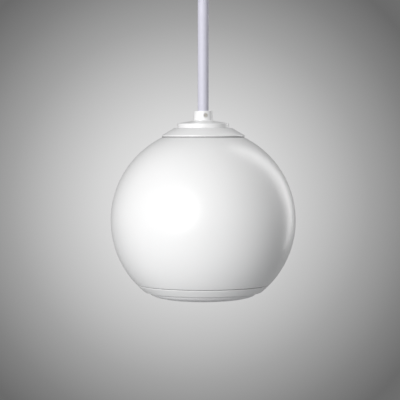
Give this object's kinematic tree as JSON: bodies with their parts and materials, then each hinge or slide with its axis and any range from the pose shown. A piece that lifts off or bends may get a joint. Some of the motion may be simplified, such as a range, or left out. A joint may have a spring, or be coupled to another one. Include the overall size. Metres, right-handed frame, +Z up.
{
  "type": "pendant speaker",
  "caption": "Round ball loudspeaker that hangs on a straight cable from a ceiling cup, with a stepped cap on top and a domed perforated grille underneath.",
  "frame": {"origin": "middle of the ceiling plate's upper face, midway between its two screw holes, where it meets the ceiling", "axes": "+Z up along the cable, -Y towards the front, where the set screw in the collar shows, +X to the right seen from the front"},
  "size_m": [0.127, 0.127, 0.2532],
  "materials": {
    "white_paint": "fine satin powder coat",
    "steel": "zinc plated",
    "ferrule": "plain turned",
    "black_rubber": "matt",
    "foam": "open cell foam",
    "wadding": "fluffy",
    "treated_cloth": "resin treated weave",
    "card": "black card",
    "cone_paper": "pressed pulp",
    "black_casting": "fine textured paint",
    "grille_paint": "satin grey paint on perforated steel",
    "ferrite": "sintered",
    "copper": "enamelled and bare copper",
    "tinned_brass": "tin plated",
    "board": "laminate",
    "white_nylon": "moulded",
    "cable_sheath": "smooth extruded sheath",
    "red_sleeve": "extruded",
    "black_sleeve": "extruded"
  },
  "bodies": {
    "root": {"ball_shell": "white_paint", "basket": "black_casting", "bezel_ring": "white_paint", "braid_minus": "copper", "braid_plus": "copper", "cable": "cable_sheath", "cable_cap": "white_paint", "cable_ferrule": "ferrule", "ceiling_cup": "white_paint", "ceiling_ferrule": "ferrule", "ceiling_grip": "white_paint", "ceiling_grip_nut": "steel", "ceiling_grip_screw": "steel", "ceiling_lead_minus": "black_sleeve", "ceiling_lead_plus": "red_sleeve", "ceiling_plate": "steel", "clinch_nuts": "steel", "cone_gasket": "black_rubber", "cup_screws": "steel", "driver_gasket": "black_rubber", "driver_screws": "steel", "grille": "grille_paint", "grille_gasket": "foam", "lead_minus": "black_sleeve", "lead_plus": "red_sleeve", "lock_washer": "steel", "magnet": "ferrite", "plate_rivets": "steel", "push_connectors": "tinned_brass", "rim_gasket": "card", "set_screw": "steel", "spider": "treated_cloth", "spread_washer": "steel", "stem_nut": "steel", "strip_rivet": "steel", "surround": "black_rubber", "terminal_block": "white_nylon", "terminal_screws": "steel", "terminal_strip": "board", "terminal_tabs": "tinned_brass", "top_cone": "white_paint", "top_plate": "steel", "wadding": "wadding", "yoke": "steel"},
    "diaphragm": {"cone": "cone_paper", "dust_cap": "cone_paper", "coil_former": "ferrule", "voice_coil": "copper"}
  },
  "joints": [
    {"name": "cone_travel", "type": "slide", "parent": "root", "child": "diaphragm", "axis": [0, 0, 1], "range_m": [-0.002, 0.002], "stiffness_N_per_m": 1100, "deforming": ["surround", "spider", "braid_plus", "braid_minus"]}
  ]
}
